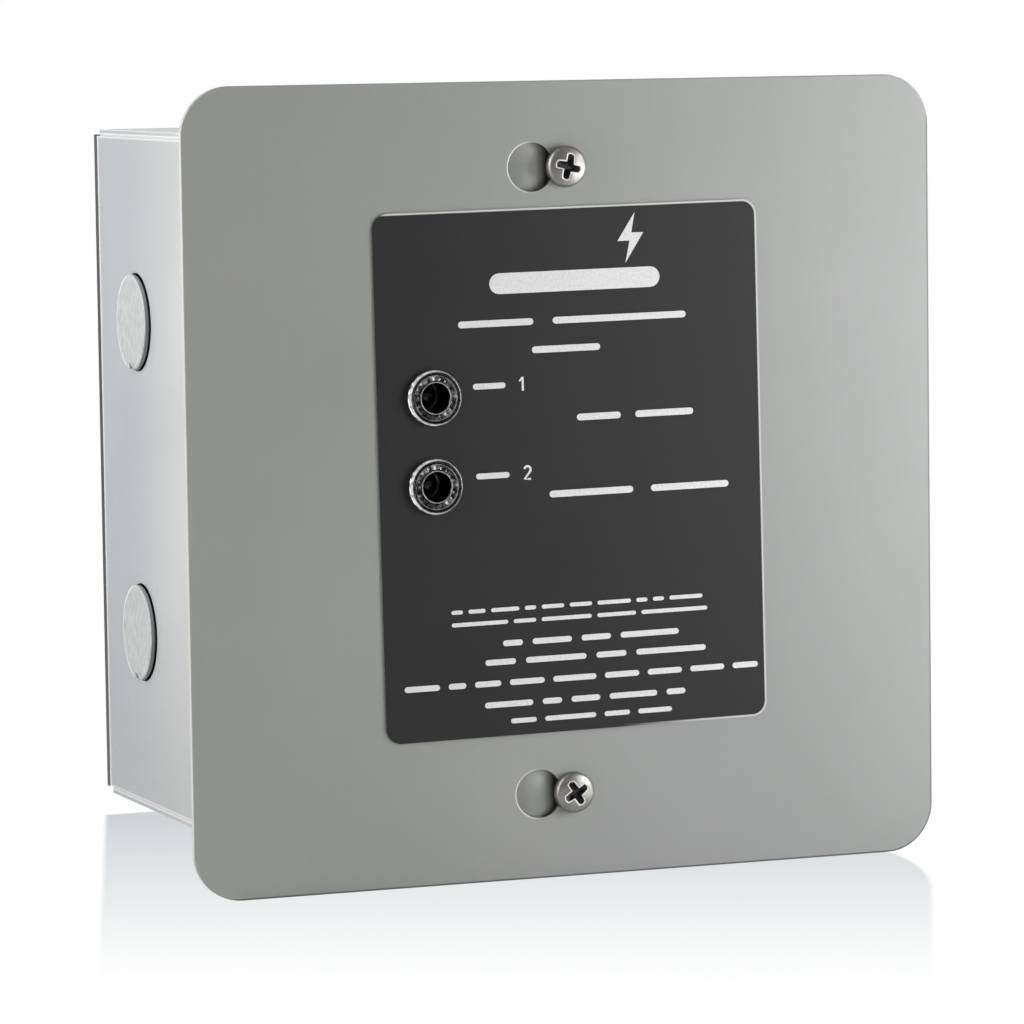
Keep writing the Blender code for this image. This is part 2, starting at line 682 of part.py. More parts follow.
def build_axial(cover, name, middle, radius, length, finish):
    """A cylinder that lies along X, with a lead from each end to the board."""
    end = length / 2
    tip = end + LEAD_STUB
    half = [(0, tip), (LEAD_STUB_RADIUS, tip), (LEAD_STUB_RADIUS, end), (radius, end)]
    profile = half + [(reach, -y) for reach, y in half[::-1]]
    body = add_piece(name, turned(profile, COARSE), finish, location=middle, turn=ACROSS, parent=cover)
    foot = BOARD[1] + GAP if middle[1] > BOARD[1] else BOARD[0] - GAP
    low, high = sorted((foot, middle[1]))
    ends = [(middle[0] + side * (end + LEAD_STUB / 2), 0, middle[2]) for side in (-1, 1)]
    join(body, [put(rod(LEAD_RADIUS, low, high, COARSE // 2), at) for at in ends], parent=cover)


def build_small_parts(cover):
    for number, side in ((1, -1), (2, 1)):
        middle = (side * CUTOFF_X, CUTOFF_DEPTH, CUTOFF_Z)
        build_axial(cover, f"thermal_cutoff_{number}", middle, CUTOFF_RADIUS, CUTOFF_LENGTH, TAN_EPOXY)
        middle = (side * FUSE_X, FUSE_DEPTH, FUSE_Z)
        build_axial(cover, f"fuse_line_{number}", middle, FUSE_RADIUS, FUSE_LENGTH, CERAMIC)
    for number, z in enumerate(LENS_Z.values(), start=1):
        middle = (RESISTOR_X, RESISTOR_DEPTH, z)
        build_axial(cover, f"lamp_resistor_{number}", middle, RESISTOR_RADIUS, RESISTOR_LENGTH, TAN_EPOXY)


def build_terminal_block(cover):
    """Four clamps. A wire goes up into each entry from below, and its screw presses from behind."""
    half = TERMINAL_BLOCK_X / 2
    low, high = TERMINAL_BLOCK_Z
    body = prism(rectangle(-half, half, low, high), *TERMINAL_BLOCK_DEPTH)
    block = add_piece("terminal_block", body, BLACK_PLASTIC, parent=cover)
    poles = [(number - (TERMINAL_COUNT - 1) / 2) * TERMINAL_PITCH for number in range(TERMINAL_COUNT)]
    reach = WIRE_ENTRY / 2
    near = WIRE_ENTRY_DEPTH - reach
    far = WIRE_ENTRY_DEPTH + reach
    ceiling = low + WIRE_ENTRY_LENGTH
    entries = [rectangle(x - reach, x + reach, low - GAP, ceiling) for x in poles]
    cut(block, [prism(entry, near, far) for entry in entries], parent=cover)
    well = (CLAMP_WELL, WIRE_ENTRY_DEPTH, 2 * TERMINAL_BLOCK_DEPTH[1], MEDIUM)
    cut(block, [put(rod(*well), (x, 0, CLAMP_SCREW_Z)) for x in poles], parent=cover)
    for number, x in enumerate(poles, start=1):
        build_terminal_screw(cover, f"terminal_screw_{number}", (x, 0, CLAMP_SCREW_Z))


def build_terminal_screw(cover, name, at):
    screw = add_piece(name, rod(CLAMP_SCREW, *CLAMP_SCREW_DEPTH, MEDIUM), ZINC, location=at, parent=cover)
    width, depth = CLAMP_SLOT
    head = CLAMP_SCREW_DEPTH[1]
    slot = rectangle(-2 * CLAMP_SCREW, 2 * CLAMP_SCREW, -width / 2, width / 2)
    cut(screw, [put(prism(slot, head - depth, head + depth), at)], parent=cover)


def main():
    clear_scene()
    build_box_wrap()
    build_side_panel("side_panel_left", -1, OUT_LEFT)
    build_side_panel("side_panel_right", 1, OUT_RIGHT)
    build_knockouts()
    build_ground_screw()
    build_cover_screw("top", 1)
    build_cover_screw("bottom", -1)
    cover = add_frame("cover_frame", (0, COVER_REAR_Y, 0))
    build_cover_plate(cover)
    build_nameplate(cover)
    for line, z in LENS_Z.items():
        build_indicator(cover, line, z)
    build_insulator(cover)
    build_board_and_fixings(cover)
    build_hood(cover)
    build_varistors(cover)
    build_small_parts(cover)
    build_terminal_block(cover)


main()
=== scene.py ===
"""Finished look of the whole house surge protector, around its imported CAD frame.

The cover faces -Y, +X is to its right and +Z is up. Lengths are metres.
"""

import json
import math

import bmesh
import bpy
from mathutils import Euler, Matrix, Vector


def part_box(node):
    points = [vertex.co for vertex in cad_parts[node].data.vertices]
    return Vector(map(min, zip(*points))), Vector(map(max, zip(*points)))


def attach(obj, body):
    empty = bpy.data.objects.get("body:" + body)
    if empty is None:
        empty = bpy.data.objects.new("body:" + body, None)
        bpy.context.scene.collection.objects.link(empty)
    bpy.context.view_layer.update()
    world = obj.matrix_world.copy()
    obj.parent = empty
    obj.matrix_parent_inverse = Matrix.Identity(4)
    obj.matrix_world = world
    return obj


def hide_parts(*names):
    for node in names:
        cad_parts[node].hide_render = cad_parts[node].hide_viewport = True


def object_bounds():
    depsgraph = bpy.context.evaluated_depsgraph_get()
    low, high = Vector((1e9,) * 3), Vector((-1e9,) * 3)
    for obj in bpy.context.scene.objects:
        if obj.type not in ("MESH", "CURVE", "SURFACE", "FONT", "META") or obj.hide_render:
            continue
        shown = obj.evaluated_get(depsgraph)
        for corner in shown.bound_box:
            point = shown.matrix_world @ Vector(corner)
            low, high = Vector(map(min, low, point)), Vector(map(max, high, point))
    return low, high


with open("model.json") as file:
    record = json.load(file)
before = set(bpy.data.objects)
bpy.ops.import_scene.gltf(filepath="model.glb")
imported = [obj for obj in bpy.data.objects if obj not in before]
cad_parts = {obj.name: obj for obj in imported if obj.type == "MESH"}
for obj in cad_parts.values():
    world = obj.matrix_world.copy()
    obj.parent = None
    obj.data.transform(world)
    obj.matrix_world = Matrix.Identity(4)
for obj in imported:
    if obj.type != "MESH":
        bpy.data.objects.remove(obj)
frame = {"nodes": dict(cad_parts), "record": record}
CAD_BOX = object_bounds()

# Camera, as fitted to the photo
LENS = 186.49
SENSOR = 36.0
CAMERA_AT = (-0.43325, -1.19907, 0.10118)
YAW = math.radians(20.99)
PITCH = math.radians(5.245)
ROLL = math.radians(-0.801)

# Places in the frame
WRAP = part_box("box_wrap")
WRAP_TOP = WRAP[1].z
WRAP_SIDE = WRAP[1].x
LIP_FRONT = WRAP[0].y
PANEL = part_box("side_panel_left")
PANEL_TOP = PANEL[1].z
PANEL_REAR = PANEL[1].y
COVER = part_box("cover_plate")
COVER_FRONT = COVER[0].y
COVER_REAR = COVER[1].y
COVER_HALF = COVER[1].x
COVER_CORNER = 0.0111
KEYHOLE_X = -0.0080
KEYHOLE_Z = 0.06985
KEYHOLE_ROUND = 0.00535
LENS_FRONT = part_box("lens_line_1")[0].y

# The nameplate, which is stuck on with a slight tilt
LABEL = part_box("nameplate")
LABEL_AT = (LABEL[0] + LABEL[1]) / 2
LABEL_FRONT = LABEL[0].y
LABEL_TILT = math.radians(-0.78)
LABEL_SIZE = (0.0914, 0.1170)
LABEL_CORNER = 0.0035


# Node building


class Nodes:
    """A material's node tree, built one node at a time."""

    def __init__(self, name):
        self.material = bpy.data.materials.new(name)
        self.material.use_nodes = True
        self.tree = self.material.node_tree
        self.shader = self.tree.nodes["Principled BSDF"]
        self.place = self.add("ShaderNodeTexCoord").outputs["Object"]

    def add(self, kind, **settings):
        made = self.tree.nodes.new(kind)
        for key, value in settings.items():
            setattr(made, key, value)
        return made

    def link(self, source, target):
        self.tree.links.new(source, target)

    def feed(self, socket, value):
        if isinstance(value, bpy.types.NodeSocket):
            self.link(value, socket)
        elif isinstance(value, tuple) and len(value) == 3 and socket.type == "RGBA":
            socket.default_value = (*value, 1.0)
        else:
            socket.default_value = value

    def math(self, operation, *values, clamp=False):
        made = self.add("ShaderNodeMath", operation=operation, use_clamp=clamp)
        for socket, value in zip(made.inputs, values):
            self.feed(socket, value)
        return made.outputs[0]

    def noise(self, scale, detail=2.0, roughness=0.5, stretch=None):
        source = self.place
        if stretch:
            mapping = self.add("ShaderNodeMapping")
            self.link(source, mapping.inputs["Vector"])
            mapping.inputs["Scale"].default_value = stretch
            source = mapping.outputs[0]
        made = self.add("ShaderNodeTexNoise")
        self.link(source, made.inputs["Vector"])
        made.inputs["Scale"].default_value = scale
        made.inputs["Detail"].default_value = detail
        made.inputs["Roughness"].default_value = roughness
        return made.outputs["Fac"]

    def span(self, value, low, high, to_low=0.0, to_high=1.0, smooth=False):
        made = self.add("ShaderNodeMapRange")
        made.interpolation_type = "SMOOTHSTEP" if smooth else "LINEAR"
        self.feed(made.inputs["Value"], value)
        made.inputs["From Min"].default_value = low
        made.inputs["From Max"].default_value = high
        made.inputs["To Min"].default_value = to_low
        made.inputs["To Max"].default_value = to_high
        return made.outputs["Result"]

    def mix(self, factor, first, second, blend="MIX"):
        made = self.add("ShaderNodeMix", data_type="RGBA", blend_type=blend)
        self.feed(made.inputs["Factor"], factor)
        colours = [socket for socket in made.inputs if socket.type == "RGBA"]
        self.feed(colours[0], first)
        self.feed(colours[1], second)
        return [socket for socket in made.outputs if socket.type == "RGBA"][0]

    def axis(self, name):
        made = self.add("ShaderNodeSeparateXYZ")
        self.link(self.place, made.inputs[0])
        return made.outputs[name]

    def toward(self, x, y):
        """The distance along a level direction."""
        made = self.add("ShaderNodeVectorMath", operation="DOT_PRODUCT")
        self.link(self.place, made.inputs[0])
        made.inputs[1].default_value = (x, y, 0.0)
        return made.outputs["Value"]

    def radius(self, centre=(0.0, 0.0)):
        """The distance from an axis along Y, through the (x, z) centre."""
        offset = self.add("ShaderNodeVectorMath", operation="SUBTRACT")
        self.link(self.place, offset.inputs[0])
        offset.inputs[1].default_value = (centre[0], 0.0, centre[1])
        flat = self.add("ShaderNodeVectorMath", operation="MULTIPLY")
        self.link(offset.outputs[0], flat.inputs[0])
        flat.inputs[1].default_value = (1.0, 0.0, 1.0)
        length = self.add("ShaderNodeVectorMath", operation="LENGTH")
        self.link(flat.outputs[0], length.inputs[0])
        return length.outputs["Value"]

    def rim(self, side, end):
        """How far a point lies outside a round corner's centre lines, given its offset from each line."""
        side = self.math("MAXIMUM", side, 0.0)
        end = self.math("MAXIMUM", end, 0.0)
        squares = self.math("ADD", self.math("MULTIPLY", side, side), self.math("MULTIPLY", end, end))
        return self.math("SQRT", squares)

    def both(self, *masks):
        product = masks[0]
        for mask in masks[1:]:
            product = self.math("MULTIPLY", product, mask)
        return product

    def band(self, value, rise, fall):
        """One between a rising and a falling stretch of the value, and nought outside them."""
        return self.both(self.span(value, *rise), self.span(value, *fall))

    def bump(self, height, distance, strength=1.0, normal=None):
        made = self.add("ShaderNodeBump")
        self.link(height, made.inputs["Height"])
        made.inputs["Distance"].default_value = distance
        made.inputs["Strength"].default_value = strength
        if normal:
            self.link(normal, made.inputs["Normal"])
        return made.outputs["Normal"]

    def finish(self, **inputs):
        for name, value in inputs.items():
            self.feed(self.shader.inputs[name.replace("_", " ")], value)
        return self.material


def grey(level, tint=(1.0, 1.0, 1.0)):
    return tuple(level * part for part in tint)


# Materials


def box_enamel():
    """Light grey enamel over sheet steel: orange peel, faint drag, painted highlights on its edges, painted
    shade on the rear edge and painted light and shade across its faces.
    """
    n = Nodes("box_enamel")
    depth = n.axis("Y")
    across = n.math("ABSOLUTE", n.axis("X"))
    height = n.math("ABSOLUTE", n.axis("Z"))
    cloud = n.noise(18.0, detail=3.0)
    drag = n.noise(260.0, detail=3.0, roughness=0.6, stretch=(1.0, 3.0, 0.12))
    patch = n.span(cloud, 0.35, 0.65)
    # Painted light and shade: lighter towards the front, darker and bluer towards the rear.
    rear = n.mix(patch, grey(0.310, (0.94, 1.0, 1.05)), grey(0.340, (0.95, 1.0, 1.04)))
    fore = n.mix(patch, grey(0.385, (1.0, 1.0, 0.985)), grey(0.415, (1.0, 1.0, 0.985)))
    base = n.mix(n.span(depth, -0.020, -0.075, smooth=True), rear, fore)
    base = n.mix(n.span(drag, 0.3, 0.75, 0.0, 0.14), base, grey(0.46))
    specks = n.span(n.noise(2600.0, detail=1.0), 0.70, 0.78)
    base = n.mix(n.math("MULTIPLY", specks, 0.16), base, grey(0.20))
    # Painted shade: darker towards the bottom.
    base = n.mix(n.span(n.axis("Z"), -0.030, -0.075, 0.0, 0.30), base, grey(0.26, (0.98, 1.0, 1.01)))
    # Painted light: the top face of the wrap is made lighter.
    upper = n.span(n.axis("Z"), WRAP_TOP - 0.0002, WRAP_TOP - 0.00005)
    base = n.mix(n.math("MULTIPLY", upper, 0.95), base, grey(0.68, (0.98, 1.0, 0.99)))
    # Painted highlights: light bands on the wrap's end face below its top, along the side panel's top edge
    # and near the panel's rear edge.
    edge = n.span(across, WRAP_SIDE - 0.00005, WRAP_SIDE - 0.00001)
    end_face_highlight = n.band(height, (WRAP_TOP - 0.0014, WRAP_TOP - 0.0012), (WRAP_TOP - 0.0007, WRAP_TOP - 0.0009))
    edge_highlight = n.band(height, (PANEL_TOP - 0.0006, PANEL_TOP - 0.0003), (PANEL_TOP + 0.0001, PANEL_TOP))
    ahead = n.math("SUBTRACT", depth, PANEL_REAR)
    glint = n.band(ahead, (-0.0028, -0.0024), (-0.0015, -0.0018))
    # Painted shade: a near-black strip along the rear edge, for the shadow in the rear seam.
    back = n.span(ahead, -0.0017, -0.0014)
    # Painted shade: darker towards the top and bottom.
    base = n.mix(n.span(height, 0.025, 0.070, 0.0, 0.36), base, grey(0.24, (0.98, 1.0, 1.01)))
    for mask, tone in ((end_face_highlight, 0.50), (edge_highlight, 0.46), (glint, 0.50), (back, 0.03)):
        base = n.mix(n.both(edge, mask), base, grey(tone))
    # Painted light and shadow on the lip seen through each keyhole: lighter towards the screw, then dark
    # right beside it as the screw head's shadow, with a greenish cast.
    beside = n.math("SUBTRACT", n.axis("X"), KEYHOLE_X)
    rise = n.math("POWER", n.span(beside, -0.0045, 0.0008), 2.0)
    lit = n.both(n.span(rise, 0.0, 1.0, 0.235, 0.56), n.span(beside, 0.0018, 0.0042, 1.0, 0.06))
    lip = n.mix(1.0, lit, (0.99, 1.02, 0.94), "MULTIPLY")
    base = n.mix(n.span(depth, LIP_FRONT + 0.0004, LIP_FRONT + 0.0002), base, lip)
    peel = n.noise(820.0)
    fine = n.noise(4200.0)
    normal = n.bump(peel, 0.00009, 0.35)
    normal = n.bump(drag, 0.00004, 0.35, normal)
    normal = n.bump(fine, 0.00002, 0.30, normal)
    rough = n.span(cloud, 0.3, 0.7, 0.38, 0.48)
    return n.finish(Base_Color=base, Roughness=rough, Normal=normal, Coat_Weight=0.10, Coat_Roughness=0.25)


def slug_enamel():
    """The punched discs: streakier enamel, a painted highlight on the rim on one side and painted shade on
    the cut edge on the other.
    """
    n = Nodes("slug_enamel")
    streak = n.noise(2400.0, detail=3.0, roughness=0.7, stretch=(1.0, 1.0, 0.16))
    cloud = n.noise(160.0)
    radius = n.radius((0.0, HOLE))
    outer = SHEET / 2 + PROUD
    depth = n.math("MULTIPLY", n.axis("Y"), -1.0)
    base = n.mix(n.span(streak, 0.30, 0.70), grey(0.200, (0.98, 1.0, 1.01)), grey(0.480, (0.99, 1.0, 1.0)))
    base = n.mix(n.span(cloud, 0.35, 0.7, 0.0, 0.3), base, grey(0.40))
    # Painted highlight: a light line along the rim on one side.
    bright_side = n.span(n.axis("X"), -0.0010, -0.0060)
    rim = n.span(radius, DISC - 0.0006, DISC - 0.0003)
    skin = n.span(depth, outer - 0.0004, outer - 0.0002)
    base = n.mix(n.both(bright_side, rim, skin), base, grey(0.88))
    # Painted shade: the cut wall on the other side is darkened.
    wall = n.span(radius, DISC - 0.0003, DISC - 0.0001)
    below = n.span(depth, outer - 0.0001, outer - 0.0003)
    dark_side = n.math("SUBTRACT", 1.0, bright_side)
    base = n.mix(n.both(wall, below, dark_side), base, grey(0.20, (0.95, 1.0, 1.03)))
    normal = n.bump(streak, 0.00006, 0.4)
    normal = n.bump(n.noise(900.0), 0.00005, 0.3, normal)
    rough = n.span(streak, 0.3, 0.7, 0.36, 0.50)
    return n.finish(Base_Color=base, Roughness=rough, Normal=normal, Coat_Weight=0.08, Coat_Roughness=0.3)


def cover_enamel():
    """Grainy satin grey, with painted shade that makes it darker and warmer at the left. The left edge has
    a painted highlight; the right and lower edges have painted shade.
    """
    n = Nodes("cover_enamel")
    cloud = n.noise(14.0, detail=3.0)
    grain = n.noise(5200.0)
    drag = n.noise(900.0, stretch=(1.0, 1.0, 0.04))
    patch = n.span(cloud, 0.35, 0.65)
    # Painted light and shade: darker and warmer towards the left, lighter and cooler towards the right.
    warm = n.mix(patch, grey(0.290, (0.985, 1.03, 0.93)), grey(0.312, (0.99, 1.02, 0.95)))
    cool = n.mix(patch, grey(0.308, (0.980, 1.01, 0.985)), grey(0.333, (0.985, 1.01, 0.99)))
    slant = n.math("SUBTRACT", n.axis("X"), n.math("MULTIPLY", n.axis("Z"), 0.4))
    base = n.mix(n.span(slant, -0.070, 0.070, smooth=True), warm, cool)
    base = n.mix(n.span(grain, 0.25, 0.75, 0.0, 0.14), base, grey(0.42))
    base = n.mix(n.span(drag, 0.3, 0.8, 0.0, 0.03), base, grey(0.18))
    # Painted shadow along the right and lower edges.
    across = n.math("SUBTRACT", n.axis("X"), COVER_HALF - COVER_CORNER)
    down = n.math("SUBTRACT", n.math("MULTIPLY", n.axis("Z"), -1.0), COVER_HALF - COVER_CORNER)
    shadow = n.span(n.rim(across, down), COVER_CORNER - 0.00055, COVER_CORNER - 0.00035)
    base = n.mix(shadow, base, grey(0.14))
    # Painted highlight along the left edge.
    left = n.span(n.axis("X"), 0.00016 - COVER_HALF, 0.00006 - COVER_HALF)
    base = n.mix(left, base, grey(0.41, (0.99, 1.0, 0.94)))
    # Painted shade: the walls of the holes within the box's outline are made near black.
    depth = n.axis("Y")
    inwards = (WRAP_SIDE + 0.0001, WRAP_SIDE - 0.0004)
    middle = n.both(*[n.span(n.math("ABSOLUTE", n.axis(name)), *inwards) for name in "XZ"])
    wall = n.band(depth, (COVER_FRONT + 0.00004, COVER_FRONT + 0.00012), (COVER_REAR, COVER_REAR - 0.00004))
    base = n.mix(n.both(middle, wall), base, grey(0.02))
    # Painted highlight on the left part of each keyhole's round rim.
    hole = n.math("MINIMUM", n.radius((KEYHOLE_X, KEYHOLE_Z)), n.radius((KEYHOLE_X, -KEYHOLE_Z)))
    rise = (KEYHOLE_ROUND - 0.00035, KEYHOLE_ROUND - 0.00015)
    fall = (KEYHOLE_ROUND + 0.00045, KEYHOLE_ROUND + 0.00025)
    ring = n.band(hole, rise, fall)
    base = n.mix(n.both(ring, n.span(n.axis("X"), -0.0065, -0.0105)), base, grey(0.60, (1.0, 1.0, 0.97)))
    normal = n.bump(grain, 0.00002, 0.25)
    normal = n.bump(n.noise(700.0), 0.00005, 0.20, normal)
    rough = n.span(cloud, 0.3, 0.7, 0.40, 0.48)
    return n.finish(Base_Color=base, Roughness=rough, Normal=normal, Coat_Weight=0.06, Coat_Roughness=0.35)


def label_film():
    """Charcoal film with a fine grain. Its cut edge has a painted highlight at the top, right and lower
    right.
    """
    n = Nodes("label_film")
    grain = n.noise(3600.0, roughness=0.7)
    cloud = n.noise(30.0, detail=3.0)
    dark = grey(0.006, (0.97, 0.98, 1.08))
    base = n.mix(n.span(grain, 0.25, 0.75), dark, grey(0.016, (0.98, 0.98, 1.05)))
    base = n.mix(n.span(cloud, 0.35, 0.7, 0.0, 0.25), base, grey(0.022))
    x = n.math("SUBTRACT", n.axis("X"), LABEL_AT.x)
    z = n.math("SUBTRACT", n.axis("Z"), LABEL_AT.z)
    lean = math.tan(LABEL_TILT)
    across = n.math("SUBTRACT", x, n.math("MULTIPLY", z, lean))
    up = n.math("ADD", z, n.math("MULTIPLY", x, lean))
    side = n.math("SUBTRACT", across, LABEL_SIZE[0] / 2 - LABEL_CORNER)
    end = n.math("SUBTRACT", n.math("ABSOLUTE", up), LABEL_SIZE[1] / 2 - LABEL_CORNER)
    edge = n.span(n.rim(side, end), LABEL_CORNER - 0.00050, LABEL_CORNER - 0.00032)
    # Painted highlight on the cut edge, at the top and the right.
    lit = n.math("MAXIMUM", n.span(up, 0.0, 0.010), n.span(across, 0.010, 0.030))
    base = n.mix(n.both(edge, lit), base, grey(0.58))
    normal = n.bump(grain, 0.00003, 0.5)
    rough = n.span(cloud, 0.3, 0.7, 0.50, 0.60)
    return n.finish(Base_Color=base, Roughness=rough, Normal=normal, Specular_IOR_Level=0.32)


def print_ink():
    """White screen print, slightly uneven."""
    n = Nodes("print_ink")
    patch = n.noise(1800.0)
    base = n.mix(n.span(patch, 0.3, 0.7), grey(0.66), grey(0.78))
    rough = n.span(patch, 0.3, 0.7, 0.45, 0.60)
    return n.finish(Base_Color=base, Roughness=rough, Normal=n.bump(patch, 0.00001, 0.4))


def bright_steel(name, tone, rough, turned=False):
    """Machined metal. A turned piece has fine rings round its own axis."""
    n = Nodes(name)
    cloud = n.noise(400.0, detail=3.0)
    scratch = n.noise(1500.0, stretch=(1.0, 0.2, 1.0))
    normal = n.bump(scratch, 0.00002, 0.35)
    if turned:
        rings = n.math("SINE", n.math("MULTIPLY", n.radius(), 26000.0))
        normal = n.bump(rings, 0.000006, 0.35, normal)
    base = n.mix(n.span(cloud, 0.35, 0.65), tone, tuple(part * 0.72 for part in tone))
    return n.finish(
        Base_Color=base,
        Metallic=1.0,
        Roughness=n.span(cloud, 0.3, 0.7, rough, rough + 0.12),
        Normal=normal,
    )


def clear_acrylic():
    """Smoke-tinted acrylic, with white painted highlights on its outer rim, its groove and inner ring, and
    painted blotches of reflection in the dish.
    """
    n = Nodes("clear_acrylic")
    ripple = n.noise(900.0, detail=1.0)
    radius = n.radius()
    # Painted highlights: white, rough patches on the rim, whitest on one side, on the groove and the inner
    # ring, and painted reflections in blotches over the dish.
    rim = n.span(radius, 0.00565, 0.00585, smooth=True)
    ring = n.band(radius, (0.00335, 0.00345), (0.00368, 0.00358))
    front = n.span(n.axis("Y"), LENS_FRONT + 0.0009, LENS_FRONT + 0.0006)
    lit = n.span(n.axis("X"), -0.0010, 0.0040, 1.0, 0.45)
    dish = n.band(radius, (0.0037, 0.0040), (0.0052, 0.0049))
    blots = n.span(n.noise(400.0, roughness=0.6), 0.46, 0.60, 0.0, 0.75)
    groove = n.band(radius, (0.0048, 0.0049), (0.0051, 0.0050))
    lens_highlight = n.both(rim, lit)
    for mask, strength in ((ring, 0.62), (groove, 0.55), (dish, blots)):
        lens_highlight = n.math("MAXIMUM", lens_highlight, n.both(mask, strength))
    patchy = n.both(lens_highlight, front, n.span(n.noise(700.0), 0.3, 0.6, 0.65, 1.0))
    smoke = n.mix(n.span(ripple, 0.3, 0.7), grey(0.14), grey(0.32, (0.96, 1.0, 1.04)))
    base = n.mix(patchy, smoke, grey(0.97))
    normal = n.bump(ripple, 0.00006, 0.35)
    return n.finish(
        Base_Color=base,
        Roughness=n.span(patchy, 0.0, 1.0, 0.05, 0.35),
        Normal=normal,
        IOR=1.49,
        Transmission_Weight=n.span(patchy, 0.0, 1.0, 1.0, 0.10),
        Coat_Weight=n.span(patchy, 0.0, 1.0, 0.0, 0.8),
        Coat_Roughness=0.18,
    )


def plastic(name, first, second, rough=0.45, scale=600.0, coat=0.0):
    """Moulded or dipped plastic: two mixed tones, a fine pebble and uneven gloss."""
    n = Nodes(name)
    pebble = n.noise(scale, detail=3.0)
    cloud = n.noise(scale / 12.0)
    base = n.mix(n.span(cloud, 0.3, 0.7), first, second)
    base = n.mix(n.span(pebble, 0.45, 0.8, 0.0, 0.25), base, tuple(part * 1.4 for part in second))
    return n.finish(
        Base_Color=base,
        Roughness=n.span(pebble, 0.3, 0.7, rough - 0.06, rough + 0.08),
        Normal=n.bump(pebble, 0.00004, 0.4),
        Coat_Weight=coat,
    )


def board_lacquer():
    """Green solder mask over copper tracks, which run both ways in patches."""
    n = Nodes("board_lacquer")
    patch = n.noise(70.0, detail=0.0)
    tracks = []
    for name, low, high in (("X", 0.50, 0.51), ("Z", 0.47, 0.46)):
        wave = n.math("SINE", n.math("MULTIPLY", n.axis(name), 2400.0))
        tracks.append(n.both(n.span(wave, 0.55, 0.70), n.span(patch, low, high)))
    tracks = n.math("MAXIMUM", *tracks)
    base = n.mix(tracks, (0.012, 0.11, 0.04), (0.03, 0.22, 0.08))
    cloud = n.noise(90.0)
    return n.finish(
        Base_Color=base,
        Roughness=n.span(cloud, 0.3, 0.7, 0.26, 0.38),
        Normal=n.bump(tracks, 0.00004, 0.5),
    )


# Shapes


def outlined(points, start, end):
    """The (x, z) outline, extruded along Y."""
    shape = bmesh.new()
    face = shape.faces.new([shape.verts.new((x, start, z)) for x, z in points])
    extruded = bmesh.ops.extrude_face_region(shape, geom=[face])
    moved = [item for item in extruded["geom"] if isinstance(item, bmesh.types.BMVert)]
    bmesh.ops.translate(shape, verts=moved, vec=(0, end - start, 0))
    return shape


def lathe(profile, segments, wobble=None):
    """A ring of (radius, y) profile points about Y. The wobble moves a point by its index and its step."""
    shape = bmesh.new()
    rings = []
    for step in range(segments):
        angle = math.tau * step / segments
        ring = []
        for index, (radius, y) in enumerate(profile):
            if wobble:
                radius, y = wobble(index, step, radius, y)
            ring.append(shape.verts.new((radius * math.cos(angle), y, radius * math.sin(angle))))
        rings.append(ring)
    count = len(profile)
    for step in range(segments):
        this = rings[step]
        following = rings[(step + 1) % segments]
        for index in range(count):
            other = (index + 1) % count
            shape.faces.new((this[index], this[other], following[other], following[index]))
    return shape


def solid_lathe(profile, segments):
    """A round body about Y, whose profile starts and ends on the axis."""
    shape = lathe(profile, segments)
    bmesh.ops.remove_doubles(shape, verts=shape.verts, dist=1e-7)
    return shape


def make(name, shape, material, location=(0, 0, 0), turn=None, sharp=35):
    mesh = bpy.data.meshes.new(name)
    bmesh.ops.recalc_face_normals(shape, faces=shape.faces)
    shape.to_mesh(mesh)
    shape.free()
    mesh.shade_smooth()
    mesh.set_sharp_from_angle(angle=math.radians(sharp))
    made = bpy.data.objects.new(name, mesh)
    bpy.context.scene.collection.objects.link(made)
    rotation = turn.to_4x4() if turn else Matrix()
    made.matrix_world = Matrix.Translation(location) @ rotation
    mesh.materials.append(material)
    return made


def soften(piece, width, segments, angle):
    edge = piece.modifiers.new("soft_edge", "BEVEL")
    edge.width = width
    edge.segments = segments
    edge.limit_method = "ANGLE"
    edge.angle_limit = math.radians(angle)
    edge.harden_normals = True


def arc(centre, radius, start, end, steps):
    angles = [math.radians(start + (end - start) * step / steps) for step in range(steps + 1)]
    return [(centre[0] + radius * math.cos(a), centre[1] + radius * math.sin(a)) for a in angles]


# Knockouts: the CAD disc with its punched rim rounded over

DISC = 0.0110
HOLE = 0.0113
SHEET = 0.0012
PROUD = 0.0014
TAB = 0.0026
SLIT = 0.0007
TAB_LENGTH = 0.0016
RIM = 0.0004
KNOCKOUT_TURNS = {
    "left": Euler((0, 0, math.radians(-90))),
    "right": Euler((0, 0, math.radians(90))),
    "top": Euler((math.radians(-90), 0, math.radians(180))),
    "bottom": Euler((math.radians(90), 0, 0)),
}


def knockout_shape():
    side = TAB / 2 + SLIT
    root = HOLE - DISC + TAB_LENGTH
    half_angle = math.degrees(math.asin(side / DISC))
    points = arc((0, HOLE), DISC, half_angle - 90, 270 - half_angle, 96)
    points += [(-side, root), (-TAB / 2, root), (TAB / 2, root), (side, root)]
    outer = -(SHEET / 2 + PROUD)
    shape = outlined(points, outer, outer + SHEET)
    target = Vector((0, outer + SHEET / 2, root))
    tab = min(shape.faces, key=lambda face: (face.calc_center_median() - target).length)
    extruded = bmesh.ops.extrude_face_region(shape, geom=[tab])
    moved = [item for item in extruded["geom"] if isinstance(item, bmesh.types.BMVert)]
    bmesh.ops.translate(shape, verts=moved, vec=(0, PROUD - SHEET / 2, -TAB_LENGTH))
    bmesh.ops.delete(shape, geom=[tab], context="FACES_ONLY")
    return shape


